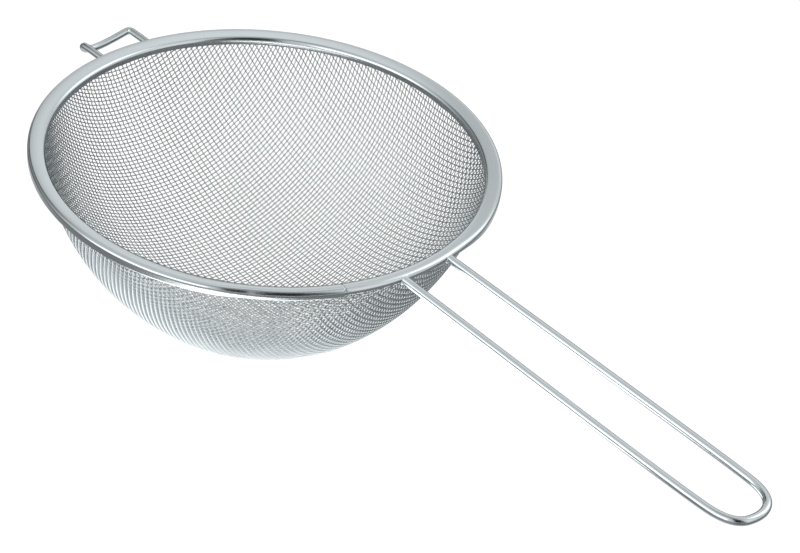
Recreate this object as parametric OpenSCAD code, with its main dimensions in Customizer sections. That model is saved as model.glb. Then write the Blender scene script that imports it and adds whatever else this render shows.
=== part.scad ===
// Kitchen sieve: a round bowl of woven steel wire held in a folded steel rim,
// with a bent wire handle and a bent wire rest hook opposite to it.
// +Z up, handle along +X. The origin is the middle of the flat under the bowl.

/* [Rim] */
// Outer diameter of the rim
rim_d = 200; // [150:1:260]
// Thickness of the folded strip
strip_t = 0.5; // [0.4:0.05:0.7]
// Width of the rim across its top, corners included
rim_top_w = 6.3; // [5.8:0.1:7.5]
// Height of the outer leg of the fold
outer_leg_h = 3.7; // [3.5:0.1:5]
// Height of the inner leg of the fold
inner_leg_h = 4.4; // [4:0.1:6]
// Lean of the inner leg from upright, in degrees
inner_leg_lean = 13; // [5:1:18]
// Outside radius of the fold's two corners
fold_r = 1; // [0.8:0.1:1.4]
// Gap between the two ends of the strip
seam_gap = 0.3; // [0.1:0.1:0.6]
// Place of the seam round the rim, in degrees from the handle
seam_turn = -22.4; // [-60:0.1:-16]
// Diameter of the weld spot that closes the seam
seam_spot_d = 1.4; // [1:0.1:2]
// Height of the weld spot above the outer leg
seam_spot_h = 0.15; // [0.05:0.05:0.3]

/* [Bowl] */
// Depth from the top of the rim to the underside of the bowl
bowl_depth = 92.3; // [70:0.1:120]
// Radius of the bowl's bottom, measured outside
bottom_r = 78; // [70:0.5:90]
// Polar angle at which the bottom's curve ends and the flank's begins
bottom_turn = 32; // [20:1:40]
// Thickness of the woven mesh, two wires crossing
mesh_t = 0.84; // [0.6:0.02:1.2]
// Depth of the flat that the bowl stands on
flat_depth = 0.15; // [0.1:0.05:0.3]
// Length of mesh below the inner leg before the bowl's curve begins
collar_drop = 0.6; // [0.3:0.1:2]

/* [Handle] */
// Diameter of the handle's wire
handle_wire_d = 3.5; // [2.5:0.1:4]
// Reach of the handle beyond the rim, to the outside of its loop
handle_reach = 168; // [100:1:220]
// Distance between the handle's two legs at the rim, centre to centre
handle_rim_w = 24.9; // [20:0.1:36]
// Distance between the legs where the loop's corners begin
handle_loop_w = 25.8; // [24:0.1:40]
// Centre-line radius of the loop's two corners
loop_corner_r = 11; // [7:0.5:11.5]
// Droop of the handle below level, in degrees
handle_droop = 1; // [0:0.5:8]

/* [Hook] */
// Diameter of the rest hook's wire
hook_wire_d = 3.3; // [2.5:0.1:4]
// Reach of the hook beyond the rim, to the centre-line of its cross bar
hook_reach = 13; // [10:0.5:40]
// Distance between the hook's two legs, centre to centre
hook_w = 25.4; // [20:0.1:40]
// Centre-line radius of the hook's two corners
hook_corner_r = 3; // [2.2:0.1:5]
// Slope of the sagging cross bar at its corners, in degrees
hook_dip = 18; // [5:1:30]

/* [Rim wire and welds] */
// Diameter of the wire ring inside the fold
ring_wire_d = 3; // [2:0.1:3.4]
// Gap between pieces that lie against each other in the fold
fold_gap = 0.1; // [0.05:0.05:0.2]
// Gap round a wire where it passes under the outer leg
notch_gap = 0.1; // [0.05:0.05:0.3]
// Gap between a wire's end and the ring that the weld fills
weld_gap = 0.05; // [0.05:0.05:0.3]
// Diameter of the weld bead under each wire end
bead_d = 2.6; // [2:0.1:3.4]

/* [Hidden] */
$fn = 96;

// Swelling of a wire's diameter where it starts to bend
bend_swell = 0.04;
// Straight steps round each corner of the fold, and along each of the bowl's arcs
fold_steps = 8;
bowl_steps = 20;
// Distance of a weld bead's middle from the wire's end
bead_out = 0.2;

rim_r = rim_d/2;
// The wires meet the ring at one level, under the top of the fold
notch_top_z = bowl_depth - strip_t - fold_gap;
wire_z = notch_top_z - notch_gap - max(handle_wire_d, hook_wire_d, ring_wire_d)/2;
ring_r = rim_r - strip_t - fold_gap - ring_wire_d/2;
ring_out_r = ring_r + ring_wire_d/2;

// Fold, as [radius, height]: centres of its corners, and the foot of its inner leg
in_corner = [rim_r - rim_top_w + fold_r, bowl_depth - fold_r];
out_corner = [rim_r - fold_r, bowl_depth - fold_r];
leg_run = [tan(inner_leg_lean), 1];
leg_t = strip_t/cos(inner_leg_lean);
leg_foot_z = bowl_depth - inner_leg_h;
leg_foot_r = in_corner.x - fold_r/cos(inner_leg_lean) - (in_corner.y - leg_foot_z)*leg_run.x;

// The mesh stands in the fold against the inner leg, as a cone of the same lean
collar_t = mesh_t/cos(inner_leg_lean);
collar_gap = fold_gap/cos(inner_leg_lean);
collar_z = leg_foot_z - collar_drop;
collar_top_z = bowl_depth - strip_t - fold_gap;
function collar_r(z) = leg_foot_r + leg_t + collar_gap + collar_t + (z - leg_foot_z)*leg_run.x;

// Two arcs make the bowl: the bottom's, and the flank's, which starts on it and ends at the collar
bottom_c = [0, bottom_r - flat_depth];
flank_end = [collar_r(collar_z), collar_z];
turn_dir = [sin(bottom_turn), -cos(bottom_turn)];
turn_z = bottom_c.y - bottom_r*cos(bottom_turn);
span = flank_end - bottom_c;
flank_more_r = (span*span - bottom_r*bottom_r)/(2*(bottom_r - span*turn_dir));
flank_r = bottom_r + flank_more_r;
flank_c = bottom_c - flank_more_r*turn_dir;
flat_turn = acos(1 - flat_depth/bottom_r);
flank_turn = asin((flank_end.x - flank_c.x)/flank_r);
step_turn = bottom_turn/bowl_steps;

// Legs of the handle and of the hook start just outside the ring, cut square
function start_of(w, d) = weld_gap + sqrt(pow(ring_out_r, 2) - pow(w/2 - d/2, 2));
handle_start = start_of(handle_rim_w, handle_wire_d);
hook_start = start_of(hook_w, hook_wire_d);

// Handle, seen from above, with x counted from the start of its legs
handle_end = rim_r + handle_reach - handle_wire_d/2 - handle_start;
corner_x = handle_end - loop_corner_r;
leg_splay = atan((handle_loop_w - handle_rim_w)/2/corner_x);
corner_y = handle_rim_w/2 + (corner_x*sin(leg_splay) - loop_corner_r)/cos(leg_splay);
handle_leg_len = corner_x*cos(leg_splay) + (corner_y - handle_rim_w/2)*sin(leg_splay);

// Hook: half the cross bar is an arc in an upright plane, then a corner turns towards the rim
hook_x = -rim_r - hook_reach;
dip_r = (hook_w/2 - hook_corner_r*cos(hook_dip))/sin(hook_dip);
dip_depth = dip_r*(1 - cos(hook_dip)) + hook_corner_r*sin(hook_dip);
hook_leg_len = -hook_start - hook_x - hook_corner_r;

// Points of an arc from one angle to another, in so many straight steps
function arc(c, r, from, to, steps) = [
    for (i = [0:steps]) let (a = from + (to - from)*i/steps) c + r*[cos(a), sin(a)]
];

// Section of the bowl: along its outside from the flat to the top of the collar, and back inside
module bowl_section() {
    inside_r = bottom_r - mesh_t;
    polygon(concat(
        [[0, 0]],
        arc(bottom_c, bottom_r, flat_turn - 90, bottom_turn - 90, bowl_steps),
        arc(flank_c, flank_r, bottom_turn - 90 + step_turn, flank_turn - 90, bowl_steps),
        [[collar_r(collar_top_z), collar_top_z], [collar_r(collar_top_z) - collar_t, collar_top_z]],
        arc(flank_c, flank_r - mesh_t, flank_turn - 90, bottom_turn - 90 + step_turn, bowl_steps),
        arc(bottom_c, inside_r, bottom_turn - 90, flat_turn - 90, bowl_steps),
        [[0, bottom_c.y - inside_r*cos(flat_turn)]]
    ));
}

module mesh_bowl() {
    color("silver") rotate_extrude($fn = 180) bowl_section();
}

// Section of the folded strip: over its outside from foot to foot, and back along its inside
module fold_section() {
    lean_turn = 180 - inner_leg_lean;
    out_foot_z = bowl_depth - outer_leg_h;
    polygon(concat(
        [[leg_foot_r, leg_foot_z]],
        arc(in_corner, fold_r, lean_turn, 90, fold_steps),
        arc(out_corner, fold_r, 90, 0, fold_steps),
        [[rim_r, out_foot_z], [rim_r - strip_t, out_foot_z]],
        arc(out_corner, fold_r - strip_t, 0, 90, fold_steps),
        arc(in_corner, fold_r - strip_t, 90, lean_turn, fold_steps),
        [[leg_foot_r + leg_t, leg_foot_z]]
    ));
}

// Arch cut through the outer leg for a wire of diameter d at y
module notch(side, y, d, start) {
    translate([side*start, y, wire_z]) rotate([0, 90*side, 0])
        cylinder(h = rim_r, r = d/2 + notch_gap);
    translate([side == 1 ? start : -start - rim_r, y - d/2 - notch_gap, leg_foot_z - 1])
        cube([rim_r, d + 2*notch_gap, wire_z - leg_foot_z + 1]);
}

// Round spot through the outer leg where the strip's ends meet
module seam_spot(height) {
    rotate([0, 0, seam_turn])
        translate([rim_r - strip_t, 0, bowl_depth - fold_r - seam_spot_d/2])
            rotate([0, 90, 0]) cylinder(h = strip_t + height, d = seam_spot_d, $fn = 32);
}

module rim_band() {
    color("lightsteelblue")
    difference() {
        rotate_extrude($fn = 180) fold_section();
        for (s = [-1, 1]) {
            notch(1, s*handle_rim_w/2, handle_wire_d, ring_r);
            notch(-1, s*hook_w/2, hook_wire_d, ring_r);
        }
        rotate([0, 0, seam_turn])
            translate([ring_r - rim_top_w, -seam_gap/2, leg_foot_z - 1])
                cube([2*rim_top_w, seam_gap, inner_leg_h + 2]);
        seam_spot(1);
    }
}

module rim_wire() {
    color("gray") translate([0, 0, wire_z])
        rotate_extrude($fn = 180) translate([ring_r, 0]) circle(ring_wire_d/2, $fn = 32);
}

// Weld that fills the seam and stands a little proud of the outer leg
module seam_weld() {
    color("white") seam_spot(seam_spot_h);
}

// Ball that closes the wire where a straight run meets a bend, its poles turned along the wire
module bend_ball(d, turn) {
    rotate(turn) sphere(d = d + bend_swell, $fn = 32);
}

module handle_leg() {
    translate([0, handle_rim_w/2, 0]) rotate([0, 90, leg_splay])
        cylinder(h = handle_leg_len, d = handle_wire_d, $fn = 32);
}

// The handle lies in a plane that droops from the ring
module handle_place() {
    translate([handle_start, 0, wire_z]) rotate([0, handle_droop, 0]) children();
}

module handle_side() {
    handle_leg();
    translate([0, handle_rim_w/2, 0]) rotate([0, 90, leg_splay]) translate([0, 0, handle_leg_len])
        bend_ball(handle_wire_d, [0, 0, 0]);
    translate([corner_x + loop_corner_r, corner_y, 0]) bend_ball(handle_wire_d, [90, 0, 0]);
    translate([corner_x, corner_y, 0])
        rotate_extrude(angle = 90 + leg_splay, $fn = 96)
            translate([loop_corner_r, 0]) circle(d = handle_wire_d, $fn = 32);
}

module handle_loop() {
    color("gainsboro")
    handle_place() {
        handle_side();
        mirror([0, 1, 0]) handle_side();
        translate([handle_end, -corner_y, 0]) rotate([-90, 0, 0])
            cylinder(h = 2*corner_y, d = handle_wire_d, $fn = 32);
    }
}

module hook_leg() {
    translate([hook_x + hook_corner_r, hook_w/2, wire_z]) rotate([0, 90, 0])
        cylinder(h = hook_leg_len, d = hook_wire_d, $fn = 32);
}

module hook_side() {
    hook_leg();
    translate([hook_x + hook_corner_r, hook_w/2, wire_z]) bend_ball(hook_wire_d, [0, 90, 0]);
    translate([hook_x, hook_w/2 - hook_corner_r*cos(hook_dip), wire_z - hook_corner_r*sin(hook_dip)])
        bend_ball(hook_wire_d, [hook_dip - 90, 0, 0]);
    translate([hook_x, 0, wire_z - dip_depth + dip_r]) rotate([0, 90, 0])
        rotate_extrude(angle = hook_dip, $fn = 96)
            translate([dip_r, 0]) circle(d = hook_wire_d, $fn = 32);
    translate([hook_x + hook_corner_r, hook_w/2 - hook_corner_r*cos(hook_dip),
               wire_z - hook_corner_r*sin(hook_dip)])
        rotate([hook_dip, 0, 0]) rotate([0, 0, 90])
            rotate_extrude(angle = 90, $fn = 96)
                translate([hook_corner_r, 0]) circle(d = hook_wire_d, $fn = 32);
}

module rest_hook() {
    color("gainsboro") {
        hook_side();
        mirror([0, 1, 0]) hook_side();
        translate([hook_x, 0, wire_z - dip_depth]) bend_ball(hook_wire_d, [90, 0, 0]);
    }
}

// A bead of weld hangs in the corner between a wire's end and the ring
module bead(x, y) {
    translate([x, y, wire_z - ring_wire_d/2]) sphere(d = bead_d, $fn = 32);
}

module handle_welds() {
    color("dimgray")
    for (s = [0, 1]) mirror([0, s, 0])
        difference() {
            bead(handle_start + bead_out, handle_rim_w/2);
            rim_wire();
            handle_place() handle_leg();
        }
}

module hook_welds() {
    color("dimgray")
    for (s = [0, 1]) mirror([0, s, 0])
        difference() {
            bead(-hook_start - bead_out, hook_w/2);
            rim_wire();
            hook_leg();
        }
}

mesh_bowl();
rim_band();
rim_wire();
seam_weld();
handle_loop();
handle_welds();
rest_hook();
hook_welds();
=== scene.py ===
# %% [markdown]
# A kitchen sieve: a bowl of woven steel wire, held in a folded steel rim, with a
# handle and a rest hook bent from round wire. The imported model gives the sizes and
# places, so it is loaded first, and each visible piece is then modelled around it.

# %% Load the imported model
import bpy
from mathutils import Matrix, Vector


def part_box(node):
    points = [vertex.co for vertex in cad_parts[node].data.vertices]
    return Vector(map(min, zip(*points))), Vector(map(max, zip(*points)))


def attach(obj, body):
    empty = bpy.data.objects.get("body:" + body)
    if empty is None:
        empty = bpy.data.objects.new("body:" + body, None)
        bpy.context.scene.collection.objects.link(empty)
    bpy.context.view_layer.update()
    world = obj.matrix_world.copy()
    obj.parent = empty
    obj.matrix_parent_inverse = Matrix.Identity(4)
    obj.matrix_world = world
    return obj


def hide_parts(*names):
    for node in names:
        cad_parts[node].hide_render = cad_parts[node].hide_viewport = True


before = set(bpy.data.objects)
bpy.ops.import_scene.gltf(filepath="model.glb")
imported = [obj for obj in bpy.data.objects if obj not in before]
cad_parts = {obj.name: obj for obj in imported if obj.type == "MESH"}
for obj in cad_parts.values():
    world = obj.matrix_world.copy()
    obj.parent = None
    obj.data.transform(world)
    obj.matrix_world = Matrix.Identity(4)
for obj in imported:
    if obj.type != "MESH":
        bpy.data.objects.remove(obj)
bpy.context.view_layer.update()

# %% [markdown]
# Everything below is worked out in millimetres, as a maker would, and turned into
# Blender's metres in one place. The few sizes that the frame can't tell are named here.

# %% Sizes of the real pieces
import math

import bpy
import numpy as np
from mathutils import Matrix, Vector

MM = 0.001
BODY = "root"
rim_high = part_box("rim_band")[1]
rim_radius = rim_high[1] / MM
rim_top = rim_high[2] / MM
strip = 0.5
rim_width = 6.3
inner_leg_height = 4.4
outer_leg_height = 3.7
collar_lean = math.radians(13)
ring_wire = 3.0
ring_low, ring_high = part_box("rim_wire")
wire_level = (ring_low[2] + ring_high[2]) / 2 / MM
print(f"rim radius {rim_radius:.1f} mm, rim top {rim_top:.1f} mm, wires at {wire_level:.2f} mm")

# %% [markdown]
# An operator acts on all that is selected, and the frame comes in selected, so each
# piece is picked on its own before an operator runs. A finished piece gets its
# material, rides on the one body, and hides the imported nodes that it stands for.

# %% Helpers for picking and finishing a piece
def pick(thing):
    bpy.ops.object.select_all(action="DESELECT")
    thing.select_set(True)
    bpy.context.view_layer.objects.active = thing


def triangles(thing):
    return sum(len(face.vertices) - 2 for face in thing.data.polygons)


def finish_piece(thing, material, slot, *nodes):
    thing.data.materials.clear()
    thing.data.materials.append(material)
    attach(thing, BODY)
    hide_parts(*nodes)
    print(f"{thing.name}: {triangles(thing)} triangles")


# %% [markdown]
# Shader maths reads best as plain maths. One small class wraps a socket, and the
# operators on it add Math nodes to the material behind the scenes.

# %% A socket that can be added and multiplied
class Sock:
    def __init__(self, tree, socket):
        self.tree = tree
        self.socket = socket

    def maths(self, operation, other=None, swap=False):
        node = self.tree.nodes.new("ShaderNodeMath")
        node.operation = operation
        sides = [self, other][::-1] if swap else [self, other]
        for place, side in zip(node.inputs, sides):
            if isinstance(side, Sock):
                self.tree.links.new(side.socket, place)
            elif side is not None:
                place.default_value = side
        return Sock(self.tree, node.outputs[0])

    def __add__(self, other):
        return self.maths("ADD", other)

    __radd__ = __add__

    def __sub__(self, other):
        return self.maths("SUBTRACT", other)

    def __rsub__(self, other):
        return self.maths("SUBTRACT", other, swap=True)

    def __mul__(self, other):
        return self.maths("MULTIPLY", other)

    __rmul__ = __mul__


class Shader:
    """A material or world that is written as a list of nodes."""

    def __init__(self, owner):
        owner.use_nodes = True
        self.tree = owner.node_tree
        self.tree.nodes.clear()

    def node(self, kind, settings=None, output=0, **values):
        made = self.tree.nodes.new("ShaderNode" + kind)
        for name, value in (settings or {}).items():
            setattr(made, name, value)
        for name, value in values.items():
            key = int(name[1:]) if name[1:].isdigit() else name.replace("_", " ")
            place = made.inputs[key]
            if isinstance(value, Sock):
                self.tree.links.new(value.socket, place)
            else:
                place.default_value = value
        return Sock(self.tree, made.outputs[output]) if made.outputs else None


# %% [markdown]
# Stainless steel is a clean metal: a cool pale grey, with no colour of its own to
# speak of. What tells one piece from another is how it was worked. Drawn wire keeps
# fine lines along its length and is the brightest. Rolled strip keeps fine lines
# round the rim. Woven wire is duller, and weld metal is rough and grey. The lines vary
# roughness and a very light bump, and a slow cloud varies the colour.

# %% Drawn wire, rolled strip, woven wire and weld
STEEL = (0.55, 0.588, 0.603, 1)
cloud_scale = 60.0
cloud_share = 0.7
mark_depth = 0.1


def metal(name, light, dark, roughness, rough_spread, marks_scale, bump):
    """Steel with fine marks, at the given scale along X, Y and Z."""
    owner = bpy.data.materials.new(name)
    shader = Shader(owner)
    place = shader.node("TexCoord", output="Object")
    marks_at = shader.node("Mapping", Vector=place, Scale=marks_scale)
    marks = shader.node("TexNoise", Vector=marks_at, Scale=1.0, Detail=3.0)
    cloud = shader.node("TexNoise", Vector=place, Scale=cloud_scale, Detail=2.0)
    mixed = cloud * cloud_share + marks * (1 - cloud_share)
    colour = shader.node("Mix", {"data_type": "RGBA"}, "Result", Factor=mixed, i6=dark, i7=light)
    rough = marks * rough_spread + (roughness - rough_spread / 2)
    height = shader.node("Bump", Strength=bump, Distance=mark_depth * MM, Height=marks)
    steel = shader.node("BsdfPrincipled", Base_Color=colour, Metallic=1.0, Roughness=rough,
                        Normal=height)
    shader.node("OutputMaterial", Surface=steel)
    return owner


drawn_wire = metal("drawn_wire", STEEL, (0.5, 0.53, 0.54, 1), roughness=0.16, rough_spread=0.08,
                   marks_scale=(60, 2500, 2500), bump=0.15)
woven_wire = metal("woven_wire", (0.44, 0.472, 0.485, 1), (0.33, 0.353, 0.362, 1), roughness=0.3,
                   rough_spread=0.15, marks_scale=(900, 900, 900), bump=0.2)
weld_metal = metal("weld_metal", (0.42, 0.44, 0.45, 1), (0.3, 0.315, 0.32, 1), roughness=0.4,
                   rough_spread=0.2, marks_scale=(1500, 1500, 1500), bump=0.4)
rolled_strip = metal("rolled_strip", STEEL, (0.52, 0.55, 0.56, 1), roughness=0.17, rough_spread=0.06,
                     marks_scale=(400, 400, 3000), bump=0.08)
print("made", [m.name for m in (drawn_wire, woven_wire, weld_metal, rolled_strip)])

# %% [markdown]
# The bowl is one disc of wire cloth, pressed over a form. A real one could be faked
# with a pattern of holes on a shell, but the eye sees at once that wires pass over and
# under each other, so every wire is made. First comes the surface that the cloth lies
# on: a round bottom, a straighter flank and the short collar that stands in the rim. The
# sizes are those of the cloth's outside, so half its thickness comes off each radius.

# %% The surface in the middle of the cloth
wire = 0.46
half_cloth = 0.42
wire_lift = half_cloth - wire / 2
bottom_outside = 78.0
bottom_dip = 0.15
bottom_radius = bottom_outside - half_cloth
bottom_turn = math.radians(32)
bottom_centre = (0.0, bottom_outside - bottom_dip)
flank_outside = 117.97
flank_radius = flank_outside - half_cloth
flank_centre = (-21.18, 111.75)
flank_turn = math.radians(78.04)
bottom_length = bottom_radius * bottom_turn
flank_length = flank_radius * (flank_turn - bottom_turn)
collar_length = 3.0
cloth_reach = bottom_length + flank_length + collar_length


def on_cloth(a, b, lift):
    """Places in the flat cloth, in mm from its middle, lifted off the pressed surface."""
    reach = np.hypot(a, b)
    round_turn = reach / bottom_radius
    side_turn = bottom_turn + (reach - bottom_length) / flank_radius
    side_turn = np.minimum(side_turn, flank_turn)
    beyond = np.maximum(reach - bottom_length - flank_length, 0)
    low = reach < bottom_length
    turn = np.where(low, round_turn, side_turn)
    radius = np.where(low, bottom_radius, flank_radius) + lift
    out = np.where(low, bottom_centre[0], flank_centre[0]) + radius * np.sin(turn)
    up = np.where(low, bottom_centre[1], flank_centre[1]) - radius * np.cos(turn)
    out = out + beyond * math.sin(collar_lean)
    up = up + beyond * math.cos(collar_lean)
    way = np.maximum(reach, 1e-6)
    return np.stack([out * a / way, out * b / way, up], axis=-1) * MM


print(f"the cloth reaches {cloth_reach:.1f} mm from the bowl's middle to its edge")

# %% [markdown]
# The cloth is woven closer one way than the other, and pressing drew its wires out of
# their straight lines. Each family of wires is a count that grows across the cloth: one
# more for each wire. The counts hold the pitch, the lean and how the wires fan and bow,
# as measured in the photo. A crossing is where both counts are whole numbers, so a few
# steps of Newton's method find its place.

# %% Where the wires cross
CLOSE = dict(pitch=1 / 0.644, lean=-0.0943, fan=-0.00096, arc=0.0, curl=1.75e-6,
             draw=-2.2e-6, bow=-5.8e-6)
WIDE = dict(pitch=1 / 0.403, lean=-0.0291, fan=0.00048, arc=0.00035, curl=0.0,
            draw=-6.2e-7, bow=-2.0e-6)
newton_steps = 25
longest_step = 8
near_enough = 1e-6
off_the_cloth = 999


def count(wires, across, along):
    """The wire number at a place, and how fast it grows across and along the wires."""
    number = (across / wires["pitch"] + wires["lean"] * along + wires["fan"] * across * along
              + wires["arc"] * along**2 + wires["curl"] * along**3 + wires["draw"] * across**3
              + wires["bow"] * across * along**2)
    by_across = (1 / wires["pitch"] + wires["fan"] * along + 3 * wires["draw"] * across**2
                 + wires["bow"] * along**2)
    by_along = (wires["lean"] + wires["fan"] * across + 2 * wires["arc"] * along
                + 3 * wires["curl"] * along**2 + 2 * wires["bow"] * across * along)
    return number, by_across, by_along


def place_of(close_number, wide_number):
    """The place in the flat cloth where the two counts have the given values."""
    a = close_number * CLOSE["pitch"]
    b = wide_number * WIDE["pitch"]
    for _ in range(newton_steps):
        u, u_a, u_b = count(CLOSE, a, b)
        v, v_b, v_a = count(WIDE, b, a)
        miss_u = u - close_number
        miss_v = v - wide_number
        whole = u_a * v_b - u_b * v_a
        a = a - np.clip((miss_u * v_b - miss_v * u_b) / whole, -longest_step, longest_step)
        b = b - np.clip((miss_v * u_a - miss_u * v_a) / whole, -longest_step, longest_step)
    found = np.hypot(miss_u, miss_v) < near_enough
    return np.where(found, a, off_the_cloth), np.where(found, b, off_the_cloth)


print(f"the close wires lie {CLOSE['pitch']:.2f} mm apart and the wide ones {WIDE['pitch']:.2f} mm")

# %% [markdown]
# Each wire rises over one crossing wire and dips under the next. Two points at each
# crossing, a quarter of a step before and after it, give the flat top of the bend and
# the slope between. A round section swept along them makes the wire. The two families
# come in bands of wires, because one mesh of them all would be too heavy.

# %% Weave the bowl
most_crossings = 130


def swept(name, paths, radius, sides):
    """Round wire swept along paths of points in metres, as one mesh."""
    curve = bpy.data.curves.new(name, "CURVE")
    curve.dimensions = "3D"
    curve.bevel_depth = radius
    curve.bevel_resolution = (sides - 4) // 2
    curve.use_fill_caps = True
    for path in paths:
        spline = curve.splines.new("POLY")
        spline.points.add(len(path) - 1)
        spline.points.foreach_set("co", np.column_stack([path, np.ones(len(path))]).ravel())
    thing = bpy.data.objects.new(name, curve)
    bpy.context.scene.collection.objects.link(thing)
    pick(thing)
    bpy.ops.object.convert(target="MESH")
    bpy.ops.object.shade_smooth()
    return bpy.context.object


def wire_path(number, along_close):
    """Points of one woven wire, from one edge of the bowl to the other."""
    crossings = np.arange(-most_crossings, most_crossings + 1)
    crossing = np.repeat(crossings, 2) + np.tile([-0.25, 0.25], len(crossings))
    over = np.where((np.round(crossing) + number) % 2 == 0, 1.0, -1.0)
    if along_close:
        a, b = place_of(np.full_like(crossing, number), crossing)
    else:
        a, b = place_of(crossing, np.full_like(crossing, number))
        over = -over
    inside = np.hypot(a, b) < cloth_reach
    if inside.sum() < 4:
        return None
    first, last = np.flatnonzero(inside)[[0, -1]]
    keep = slice(first, last + 1)
    return on_cloth(a[keep], b[keep], over[keep] * wire_lift)


def weave(name, along_close, most, bands):
    paths = [wire_path(number, along_close) for number in range(-most, most + 1)]
    paths = [path for path in paths if path is not None]
    print(f"{name}: {len(paths)} wires")
    share = math.ceil(len(paths) / bands)
    for band, start in enumerate(range(0, len(paths), share)):
        thing = swept(f"{name}_{band + 1}", paths[start:start + share], wire / 2 * MM, sides=6)
        finish_piece(thing, woven_wire, "mesh_wire", "mesh_bowl")


weave("close_wires", along_close=True, most=90, bands=2)
weave("wide_wires", along_close=False, most=70, bands=2)

# %% [markdown]
# The rim is a strip of sheet steel, rolled into a ring and folded down over the edge of
# the cloth. Its section is drawn as a line: a round inner corner, a lightly crowned top
# that slopes down to the inside, a tighter outer corner and a short outer leg. It is
# drawn three times: plain, and pressed close round the hidden ring, as the strip is near
# the handle, with a long outer leg on one side of the seam and a short one on the other.

# %% Draw the fold's section
inner_round = 1.8
inner_corner_in = 0.75
inner_corner_down = 2.65
inner_leg_lean = math.radians(3)
inner_leg_steps = 3
foot_flare = 0.1
top_steps = 6
crown = 0.075
corner_steps = 8
leg_steps = 6


def arc(centre, radius, start, end):
    """Points of an arc from one angle to another, as radius and level in mm."""
    return [(centre[0] + radius * math.cos(turn), centre[1] + radius * math.sin(turn))
            for turn in np.linspace(start, end, corner_steps + 1)]


def line(start, end, steps):
    """Points strictly between two points."""
    return [tuple(np.add(start, np.subtract(end, start) * k / steps)) for k in range(1, steps)]


def crowned(start, end):
    """Points of the top, raised a little between its two edges."""
    shares = np.arange(1, top_steps) / top_steps
    rise = crown * 4 * shares * (1 - shares)
    return [(r, z + more) for (r, z), more in zip(line(start, end, top_steps), rise)]


def section_points(outer_centre, corner_round, slopes, foot_rise):
    """The outside of the fold, from the inner leg's foot to the outer leg's foot."""
    inner_slope, outer_slope = (math.pi / 2 + math.radians(slope) for slope in slopes)
    inner_centre = (rim_radius - rim_width + inner_corner_in, rim_top - inner_corner_down)
    inner = arc(inner_centre, inner_round, math.pi - inner_leg_lean, inner_slope)
    outer = arc(outer_centre, corner_round, outer_slope, 0)
    inner_foot = (inner[0][0] + foot_flare, rim_top - inner_leg_height)
    outer_foot = (outer[-1][0], rim_top - outer_leg_height + foot_rise)
    inner_side = [inner_foot] + line(inner_foot, inner[0], inner_leg_steps) + inner
    outer_side = outer + line(outer[-1], outer_foot, leg_steps) + [outer_foot]
    return np.array(inner_side + crowned(inner[-1], outer[0]) + outer_side)


outer_round = 1.4
outer_down = 1.43
pressed_round = 2.05
short_by = 0.9
dent = 1.05
ring_radius = (ring_high[0] - ring_low[0]) / 2 / MM - ring_wire / 2
plain_centre = (rim_radius - outer_round, rim_top - outer_down)
pressed_centre = (ring_radius - dent, wire_level)
plain = section_points(plain_centre, outer_round, (15, 7), 0)
long_legged = section_points(pressed_centre, pressed_round, (13, -6), 0)
short_legged = section_points(pressed_centre, pressed_round, (13, -6), short_by)
outer_from = len(plain) - leg_steps - corner_steps - 1
print(f"the fold's section has {len(plain)} points")

# %% [markdown]
# Three things keep the real rim from being a plain ring. The outer leg arches over each
# of the four wire ends. From a little before the seam to just past the handle the strip
# is pressed round the ring, which gives the bright wedge in the photo. And the seam is
# open by a hair. So the spun ring's points are moved by rules that follow the angle round
# the rim, and they are crowded together near the wires, where the shape changes fast.

# %% Say where the wires leave the rim
handle_wire = 3.5
hook_wire = 3.3
handle_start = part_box("handle_loop")[0][0] / MM
hook_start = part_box("rest_hook")[1][0] / MM
handle_legs = (12.7, -12.15)
hook_legs = (12.7, -12.7)
leaving = [(handle_start, y, handle_wire) for y in handle_legs]
leaving += [(hook_start, y, hook_wire) for y in hook_legs]
seam_turn = math.radians(-22.4)
seam_gap = 0.05
spin_steps = 900
table_steps = 8000
crowding = 3
crowded_reach = 4
start_turn = seam_turn + seam_gap / 2 / rim_radius
whole_turn = 2 * math.pi - seam_gap / rim_radius


def wire_offset(turn, x, y):
    """Distance along the rim from a wire's middle, in mm."""
    away = turn - math.atan2(y, x)
    return rim_radius * ((away + math.pi) % (2 * math.pi) - math.pi)


def crowded(turn):
    """Moves even angles so that they lie up to four times as close near the wires."""
    even = np.linspace(start_turn, start_turn + whole_turn, table_steps)
    weight = np.ones_like(even)
    for x, y, _ in leaving:
        weight += crowding * np.exp(-(wire_offset(even, x, y) / crowded_reach)**2)
    share = np.concatenate([[0], np.cumsum(weight[:-1])])
    return np.interp((turn - start_turn) / whole_turn, share / share[-1], even)


leaving_turns = [round(math.degrees(math.atan2(y, x)), 1) for x, y, _ in leaving]
print("wires leave the rim at", leaving_turns, "degrees")

# %% Rules that press the rim
press_starts = (-54, -44)
press_ends = (9, 24)
arch_over = 1.3
arch_drop = 2.6
arch_inner = 0.3
arch_outer = 0.8
arch_flare = 0.1
hair = 1e-6


def smooth(low, high, value):
    """A soft step from 0 to 1."""
    t = np.clip((value - low) / (high - low), 0, 1)
    return t * t * (3 - 2 * t)


def press_at(degrees):
    """How far the rim is pressed, from 0 to 1, at an angle in degrees from the handle."""
    return smooth(*press_starts, degrees) * (1 - smooth(*press_ends, degrees))


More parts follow.
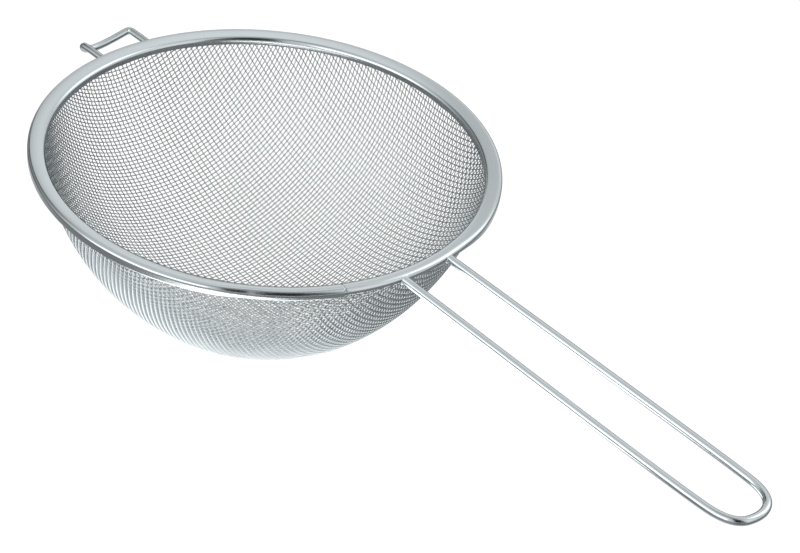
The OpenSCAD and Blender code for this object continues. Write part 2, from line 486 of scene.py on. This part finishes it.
def rim_shape(co):
    """Moves the spun ring's points, an array in mm."""
    radius = np.hypot(co[:, 0], co[:, 1])
    turn = np.arctan2(co[:, 1], co[:, 0])
    turn = start_turn + (turn - start_turn + hair) % (2 * math.pi) - hair
    turn = crowded(turn)
    miss = np.hypot(radius[:, None] - plain[:, 0], co[:, 2][:, None] - plain[:, 1])
    index = miss.argmin(axis=1)
    degrees = (np.degrees(turn) + 180) % 360 - 180
    press = press_at(degrees)[:, None]
    before_seam = (degrees < math.degrees(seam_turn))[:, None]
    dented = np.where(before_seam, long_legged[index], short_legged[index])
    place = plain[index] * (1 - press) + dented * press
    radius, level = place.T
    down = np.clip((index - outer_from) / (len(plain) - 1 - outer_from), 0, 1)
    for x, y, thick in leaving:
        off = np.abs(wire_offset(turn, x, y))
        clear = wire_level + arch_over - arch_drop * smooth(arch_inner * thick, arch_outer * thick, off)
        lift = np.where(down > 0, np.maximum(clear - level, 0), 0)
        level = level + lift
        radius = radius + lift * down * arch_flare
    return np.column_stack([radius * np.cos(turn), radius * np.sin(turn), level])


print("the rim is pressed in by", dent, "mm between", press_starts[0], "and", press_ends[1], "degrees")

# %% [markdown]
# The section is spun round the rim's axis, from one side of the seam to the other. Its
# points are then moved by the rules, the sheet gets its thickness inwards, and its cut
# edges are rounded, so that they catch the light.

# %% Spin the rim and press it
edge_round = 0.08
outline = bpy.data.meshes.new("folded_rim")
corners = [(r * math.cos(start_turn) * MM, r * math.sin(start_turn) * MM, z * MM) for r, z in plain]
outline.from_pydata(corners, [(k, k + 1) for k in range(len(plain) - 1)], [])
folded_rim = bpy.data.objects.new("folded_rim", outline)
bpy.context.scene.collection.objects.link(folded_rim)
pick(folded_rim)
bpy.ops.object.mode_set(mode="EDIT")
bpy.ops.mesh.select_all(action="SELECT")
bpy.ops.mesh.spin(steps=spin_steps, angle=whole_turn, center=(0, 0, 0), axis=(0, 0, 1))
bpy.ops.mesh.select_all(action="SELECT")
bpy.ops.mesh.normals_make_consistent(inside=False)
bpy.ops.object.mode_set(mode="OBJECT")
points = np.empty(len(outline.vertices) * 3)
outline.vertices.foreach_get("co", points)
outline.vertices.foreach_set("co", (rim_shape(points.reshape(-1, 3) / MM) * MM).ravel())
top_face = max(outline.polygons, key=lambda face: face.center.z)
faces_up = top_face.normal.z > 0
sheet = folded_rim.modifiers.new("sheet", "SOLIDIFY")
sheet.thickness = strip * MM
sheet.offset = -1 if faces_up else 1
edges = folded_rim.modifiers.new("edges", "BEVEL")
edges.width = edge_round * MM
edges.segments = 2
edges.limit_method = "ANGLE"
edges.angle_limit = math.radians(60)
for name in ("sheet", "edges"):
    bpy.ops.object.modifier_apply(modifier=name)
bpy.ops.object.shade_smooth_by_angle(angle=math.radians(40))
print("the rim's top faces up:", faces_up)
finish_piece(folded_rim, rolled_strip, "strip_steel", "rim_band")

# %% [markdown]
# The stiffening ring lies inside the fold. It shows only from below, where the legs of
# the fold leave a slot. It is swept along a circle that comes in where the rim is
# pressed in, because the strip there is pressed against it.

# %% Bend the ring inside the fold
ring_turns = np.radians(np.linspace(-180, 180, 361))
ring_line = ring_radius - dent * press_at(np.degrees(ring_turns))
ring_path = np.column_stack([ring_line * np.cos(ring_turns), ring_line * np.sin(ring_turns),
                             np.full_like(ring_turns, wire_level)]) * MM
ring = swept("stiffening_ring", [ring_path], ring_wire / 2 * MM, sides=16)
finish_piece(ring, drawn_wire, "bright_wire", "rim_wire")

# %% [markdown]
# The handle is one length of drawn wire, bent by hand to a long loop, so its two corners
# aren't alike. A curve with a round bevel is the plain way to make bent wire. The path is
# laid out by the corners of a frame that it runs inside, as a maker bends wire round
# pegs, and cutting each corner off again and again leaves a smooth bend.

# %% Bend the handle
droop = math.radians(1)
tip_drop = 0.27
tip_run = 160
handle_pegs = [(handle_start - dent, 12.7), (105, 12.73), (247.7, 13.75), (262.7, 12.4), (268.5, 3.6),
               (265, -10.3), (244.2, -12.5), (105, -12.16), (handle_start - dent, -12.15)]


def corners_cut(pegs, times):
    """A smooth path from the corners of a frame, with its two ends kept."""
    path = np.array(pegs, dtype=float)
    for _ in range(times):
        ahead = path[:-1] * 0.75 + path[1:] * 0.25
        behind = path[:-1] * 0.25 + path[1:] * 0.75
        cut = np.stack([ahead, behind], axis=1).reshape(-1, path.shape[1])
        path = np.vstack([path[:1], cut, path[-1:]])
    return path


flat_path = corners_cut(handle_pegs, 5)
run = flat_path[:, 0] - handle_start
level = wire_level - run * math.tan(droop) - tip_drop * np.clip(run / tip_run, 0, 1)
handle_path = np.column_stack([flat_path, level]) * MM
handle = swept("wire_handle", [handle_path], handle_wire / 2 * MM, sides=24)
finish_piece(handle, drawn_wire, "bright_wire", "handle_loop")

# %% [markdown]
# The rest hook is bent the same way from slightly thinner wire. Its cross bar sags, more
# to one side: on that side the wire turns down in a tight lump before it runs across.

# %% Bend the rest hook
hook_pegs = [(hook_start, -12.7, 0), (-103, -12.72, 0), (-108, -12.75, 0), (-113.4, -12.7, -0.4),
             (-114, -12.1, -2.8), (-113, -9, -3.4), (-113, -4, -3.3), (-113, 3, -2.2), (-113, 9, -0.9),
             (-113, 12.7, -0.1), (-108, 12.7, 0), (-103, 12.7, 0), (hook_start, 12.7, 0)]
hook_path = (corners_cut(hook_pegs, 4) + (0, 0, wire_level)) * MM
hook = swept("wire_hook", [hook_path], hook_wire / 2 * MM, sides=24)
finish_piece(hook, drawn_wire, "bright_wire", "rest_hook")

# %% [markdown]
# Each wire end is welded to the ring, and a weld bead is a small lump with no two alike.
# A sphere is squashed and roughened a little in edit mode, with a fixed seed for each.

# %% Lay the weld beads
bead_size = (1.3, 1.3, 1.25)
bead_drop = 1.5
bead_ripple = 0.05
handle_bead_in = 0.6
hook_bead_in = 0.2
spot_size = (0.42, 0.42, 0.5)
spot_raise = 0.7
spot_in = 0.9


def weld_bead(seed, x, y, z, size):
    bpy.ops.object.select_all(action="DESELECT")
    place = (x * MM, y * MM, z * MM)
    bpy.ops.mesh.primitive_ico_sphere_add(subdivisions=4, radius=MM, location=place)
    bead = bpy.context.object
    bead.scale = size
    bpy.ops.object.transform_apply(location=True, rotation=True, scale=True)
    bpy.ops.object.mode_set(mode="EDIT")
    bpy.ops.mesh.select_all(action="SELECT")
    bpy.ops.transform.vertex_random(offset=bead_ripple * MM, uniform=0.3, normal=0.5, seed=seed)
    bpy.ops.mesh.vertices_smooth(factor=0.5, repeat=3)
    bpy.ops.object.mode_set(mode="OBJECT")
    bpy.ops.object.shade_smooth()
    return bead


def beads(name, x, legs, node, seed):
    """The two beads of a bent wire, joined into one piece."""
    pair = [weld_bead(seed + k, x, y, wire_level - bead_drop, bead_size) for k, y in enumerate(legs)]
    bpy.ops.object.select_all(action="DESELECT")
    for bead in pair:
        bead.select_set(True)
    bpy.context.view_layer.objects.active = pair[0]
    bpy.ops.object.join()
    pair[0].name = name
    finish_piece(pair[0], weld_metal, "weld_steel", node)


beads("handle_beads", handle_start - dent - handle_bead_in, handle_legs, "handle_welds", seed=3)
beads("hook_beads", hook_start - hook_bead_in, hook_legs, "hook_welds", seed=8)

# %% [markdown]
# One more spot of weld closes the seam of the strip. It sits on the outer corner, and
# comes in with the dent.

# %% Close the seam
seam_low, seam_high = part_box("seam_weld")
spot_x, spot_y, spot_z = [(a + b) / 2 / MM for a, b in zip(seam_low, seam_high)]
inwards = 1 - dent * spot_in / rim_radius
spot = weld_bead(21, spot_x * inwards, spot_y * inwards, spot_z + spot_raise, spot_size)
spot.name = "seam_spot"
finish_piece(spot, weld_metal, "weld_steel", "seam_weld")

# %% [markdown]
# The floor is plain and white. It shows white to the camera and keeps a faint shadow. It
# is left out of the metal's reflections, because the room below the horizon gives those.

# %% Lay the floor
WHITE = (1, 1, 1, 1)
floor_level = -0.00016
bpy.ops.object.select_all(action="DESELECT")
bpy.ops.mesh.primitive_plane_add(size=12, location=(0, 0, floor_level))
floor = bpy.context.object
floor.name = "floor"
floor_paint = bpy.data.materials.new("floor_white")
shader = Shader(floor_paint)
seen = shader.node("LightPath", output="Is Camera Ray")
white = shader.node("Emission", Color=WHITE, Strength=0.96)
glow = shader.node("Emission", Color=WHITE, Strength=0.6)
faint = shader.node("BsdfDiffuse", Color=(0.12, 0.12, 0.12, 1))
lit = shader.node("AddShader", i0=white, i1=faint)
shader.node("OutputMaterial", Surface=shader.node("MixShader", i0=seen, i1=glow, i2=lit))
floor.data.materials.append(floor_paint)
floor.visible_glossy = False
print("the floor lies at", floor_level)

# %% [markdown]
# A photographer lays a white card on the table to brighten the underside of a bowl. The
# same card lies here, in front of the bowl and just above the floor. It shows in the
# metal only, so the camera sees plain floor in its place.

# %% Lay a white card in front of the bowl
card_radius = 0.1
card_place = (0.075, -0.1, floor_level / 2)
bpy.ops.object.select_all(action="DESELECT")
bpy.ops.mesh.primitive_circle_add(vertices=64, radius=card_radius, fill_type="NGON", location=card_place)
card = bpy.context.object
card.name = "white_card"
card_paint = bpy.data.materials.new("card_white")
shader = Shader(card_paint)
shader.node("OutputMaterial", Surface=shader.node("Emission", Color=WHITE, Strength=3.2))
card.data.materials.append(card_paint)
for ray in ("camera", "diffuse", "shadow", "transmission", "volume_scatter"):
    setattr(card, "visible_" + ray, False)
print("the card lies at", card_place)

# %% [markdown]
# Polished metal has no look of its own: it shows the room. So the room is laid out with
# care, as a studio does it, with soft boxes that give the white bands and black cards
# that give the dark lines. Each is a soft round patch or an upright strip of the world,
# given by its bearing and height, and it lies in the same place from every view.

# %% Masks for parts of the room
world = bpy.data.worlds.new("studio")
bpy.context.scene.world = world
shader = Shader(world)
toward = shader.node("TexCoord", output="Generated")
height = shader.node("SeparateXYZ", output="Z", Vector=toward)
flattened = shader.node("VectorMath", {"operation": "MULTIPLY"}, i0=toward, i1=(1, 1, 0))
level_way = shader.node("VectorMath", {"operation": "NORMALIZE"}, i0=flattened)


def ramp(value, low, high):
    """A soft step from 0 to 1 on a socket."""
    return shader.node("MapRange", {"interpolation_type": "SMOOTHSTEP"}, Value=value,
                       From_Min=low, From_Max=high)


def strip_box(bearing, spread, low, high, edge=0.05):
    """Mask of an upright strip, from its bearing, half width, lowest and highest angle."""
    turn = math.radians(bearing)
    facing = shader.node("VectorMath", {"operation": "DOT_PRODUCT"}, "Value", i0=level_way,
                         i1=(math.cos(turn), math.sin(turn), 0))
    edge_at = math.cos(math.radians(spread))
    wide = ramp(facing, edge_at - edge, edge_at + edge)
    above = ramp(height, math.sin(math.radians(low)) - edge, math.sin(math.radians(low)) + edge)
    below = ramp(height, math.sin(math.radians(high)) - edge, math.sin(math.radians(high)) + edge)
    return wide * above * (1 - below)


def patch(bearing, lift, inner, outer):
    """Mask of a round patch, full within the inner angle and gone at the outer one."""
    turn = math.radians(bearing)
    rise = math.radians(lift)
    way = (math.cos(rise) * math.cos(turn), math.cos(rise) * math.sin(turn), math.sin(rise))
    facing = shader.node("VectorMath", {"operation": "DOT_PRODUCT"}, "Value", i0=toward, i1=way)
    return ramp(facing, math.cos(math.radians(outer)), math.cos(math.radians(inner)))


# %% [markdown]
# Each patch below is its bearing and height, the angles at which it is full and gone, and
# its strength. A bright strip and a dark one stand upright, and a dark ring goes round the
# place that level metal mirrors to the photo's viewpoint, which gives the rim's top its
# fine dark edges. What isn't shiny sees a plain white room.

# %% Hang the soft boxes and the black cards
soft_boxes = [(131, 18, 15, 40, 0.15), (133, 62, 5, 20, 0.2), (6, 31, 12, 28, 0.3),
              (75, 40, 14, 26, 1.2), (290, -20, 15, 40, 0.16), (132, -72, 25, 55, 0.6)]
black_cards = [(148, 34, 6, 18, 0.3), (116, 34, 3, 10, 0.15), (0, 90, 8, 22, 0.45),
               (131, -8, 12, 23, 0.8), (187, 22, 15, 35, 0.6), (331, -20, 10, 30, 0.08)]
ground_light = 0.3
sky_light = 0.65
darkest = 0.02
room = ramp(height, -0.03, 0.05) * sky_light + ground_light + strip_box(266, 31, 5, 45) * 1.4
room = room - strip_box(337, 21, 8, 74, edge=0.03) * 1.0
room = room - (patch(132, 36.6, 37, 41) - patch(132, 36.6, 27, 31)) * 0.35
for bearing, lift, inner, outer, amount in soft_boxes:
    room = room + patch(bearing, lift, inner, outer) * amount
for bearing, lift, inner, outer, amount in black_cards:
    room = room - patch(bearing, lift, inner, outer) * amount
room = room.maths("MAXIMUM", darkest)
glossy = shader.node("Background", Color=(0.97, 0.99, 1, 1), Strength=room)
plain_room = shader.node("Background", Color=WHITE, Strength=0.8)
background = shader.node("Background", Color=WHITE, Strength=1.0)
in_metal = shader.node("LightPath", output="Is Glossy Ray")
to_camera = shader.node("LightPath", output="Is Camera Ray")
lit = shader.node("MixShader", i0=in_metal, i1=plain_room, i2=glossy)
shader.node("OutputWorld", Surface=shader.node("MixShader", i0=to_camera, i1=lit, i2=background))
print(f"the room has {len(soft_boxes)} round soft boxes and {len(black_cards)} round black cards")

# %% [markdown]
# One large square lamp hangs over the sieve and gives the soft shadow on the floor. It is
# kept out of the metal, where it would show as a hard square.

# %% Hang the lamp
lamp_place = Vector((-0.3, -0.4, 1.4))
bpy.ops.object.light_add(type="AREA", location=lamp_place)
lamp = bpy.context.object
lamp.name = "top_box"
lamp.rotation_euler = lamp_place.to_track_quat("Z", "Y").to_euler()
lamp.data.size = 1.2
lamp.data.energy = 6
lamp.visible_glossy = False
print(f"the lamp is {lamp.data.size:.1f} m wide and gives {lamp.data.energy:.0f} W")

# %% [markdown]
# The camera stands where the photo was taken from. Its place was worked out from the
# ellipse of the rim and the lines of the handle: a bearing, a height, a distance and a
# small roll, then a sideways and an upward slide that set the sieve in the frame.

# %% Set the camera
camera_bearing = math.radians(-48.19)
camera_height = math.radians(36.63)
camera_roll = math.radians(8.26)
camera_distance = 841.4
slide_right = 55.63
slide_up = -53.76
focal_pixels = 1994.4
picture_width = 800


def camera_frame():
    """The camera's right, up and back directions, and its place."""
    back = np.array([math.cos(camera_height) * math.cos(camera_bearing),
                     math.cos(camera_height) * math.sin(camera_bearing), math.sin(camera_height)])
    level_right = np.cross(-back, (0, 0, 1))
    level_right /= np.linalg.norm(level_right)
    level_up = np.cross(level_right, -back)
    right = math.cos(camera_roll) * level_right + math.sin(camera_roll) * level_up
    up = -math.sin(camera_roll) * level_right + math.cos(camera_roll) * level_up
    place = slide_right * right + slide_up * up + camera_distance * back + np.array((0, 0, rim_top))
    return right, up, back, place * MM


bpy.ops.object.camera_add()
camera = bpy.context.object
right, up, back, place = camera_frame()
camera.matrix_world = Matrix([[*row] for row in zip(right, up, back, place)] + [[0, 0, 0, 1]])
camera.data.sensor_width = 36
camera.data.lens = focal_pixels / picture_width * camera.data.sensor_width
bpy.context.scene.camera = camera
bpy.context.scene.view_settings.view_transform = "Standard"
print(f"a {camera.data.lens:.1f} mm lens at", [round(float(c), 3) for c in place])
